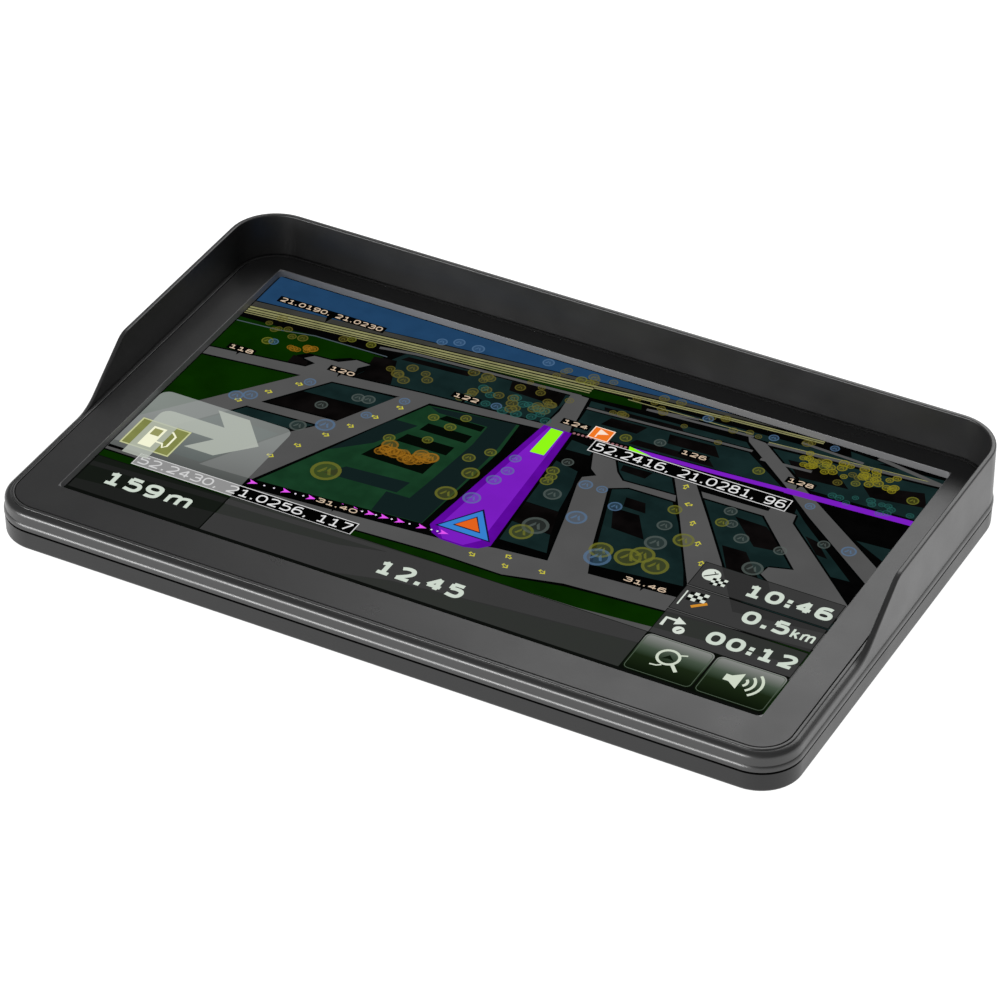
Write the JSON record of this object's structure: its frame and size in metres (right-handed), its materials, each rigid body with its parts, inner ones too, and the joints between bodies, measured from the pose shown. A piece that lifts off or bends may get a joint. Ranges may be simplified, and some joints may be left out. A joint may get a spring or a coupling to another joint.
{
  "type": "portable gps navigator",
  "caption": "Flat in-vehicle navigator with a wide touch screen, double-bead front frame with a moulded sun visor, rear cover with ports, power key, grille and cradle seat.",
  "frame": {"origin": "middle of the outline, on the surface that the device lies on with its display up", "axes": "+X along the length, to the right of the display; +Y towards the sun visor, the top of the picture; +Z out of the display"},
  "size_m": [0.1754, 0.1072, 0.0233],
  "materials": {
    "frame_plastic": "satin black, moulded",
    "plate_plastic": "semi-gloss dark grey, smooth",
    "cover_plastic": "fine-textured black",
    "key_plastic": "satin black",
    "black_foam": "closed-cell foam",
    "speaker_cloth": "woven acoustic cloth",
    "touch_glass": "hard-coated touch film with the lit picture on it",
    "display_screen": "polariser film",
    "pressed_steel": "tinned, drawn",
    "screw_steel": "black zinc",
    "board_laminate": "green solder mask",
    "chip_resin": "moulded resin",
    "white_plastic": "natural nylon",
    "ribbon_film": "amber film",
    "patch_ceramic": "sintered",
    "silver_foil": "silvered",
    "battery_pouch": "pouch foil",
    "wire_red": "insulation",
    "wire_black": "insulation"
  },
  "bodies": {
    "case": {"front_frame": "frame_plastic", "face_plate": "plate_plastic", "rear_cover": "cover_plastic", "panel_gasket": "black_foam", "speaker_gasket": "black_foam", "speaker_cloth": "speaker_cloth", "touch_panel": "touch_glass", "display_panel": "display_screen", "backlight_unit": "pressed_steel", "display_bracket": "pressed_steel", "shield_can": "pressed_steel", "usb_socket": "pressed_steel", "card_socket": "pressed_steel", "power_switch": "pressed_steel", "reset_switch": "pressed_steel", "case_screw_1": "screw_steel", "case_screw_2": "screw_steel", "case_screw_3": "screw_steel", "case_screw_4": "screw_steel", "bracket_screw_1": "screw_steel", "bracket_screw_2": "screw_steel", "bracket_screw_3": "screw_steel", "bracket_screw_4": "screw_steel", "board_screw_1": "screw_steel", "board_screw_2": "screw_steel", "board_screw_3": "screw_steel", "main_board": "board_laminate", "processor_chip": "chip_resin", "memory_chip_1": "chip_resin", "memory_chip_2": "chip_resin", "storage_chip": "chip_resin", "power_chip": "chip_resin", "audio_chip": "chip_resin", "receiver_chip": "chip_resin", "audio_jack": "chip_resin", "display_connector": "chip_resin", "touch_connector": "chip_resin", "speaker": "chip_resin", "battery_plug": "white_plastic", "speaker_plug": "white_plastic", "display_cable": "ribbon_film", "touch_cable": "ribbon_film", "antenna_patch": "patch_ceramic", "antenna_foil": "silver_foil", "battery": "battery_pouch", "battery_wire_red": "wire_red", "speaker_wire_red": "wire_red", "battery_wire_black": "wire_black", "speaker_wire_black": "wire_black"},
    "power_key": {"power_button": "key_plastic", "power_switch_plunger": "white_plastic"},
    "reset_key": {"reset_plunger": "white_plastic"},
    "card_ejector": {"card_slider": "chip_resin"}
  },
  "joints": [
    {"name": "power_key_travel", "type": "slide", "parent": "case", "child": "power_key", "axis": [0, -1, 0], "range_m": [0, 0.0004], "stiffness_N_per_m": 3000},
    {"name": "reset_key_travel", "type": "slide", "parent": "case", "child": "reset_key", "axis": [1, 0, 0], "range_m": [0, 0.00025], "stiffness_N_per_m": 3000},
    {"name": "card_ejector_travel", "type": "slide", "parent": "case", "child": "card_ejector", "axis": [1, 0, 0], "range_m": [0, 0.0012], "stiffness_N_per_m": 400}
  ]
}
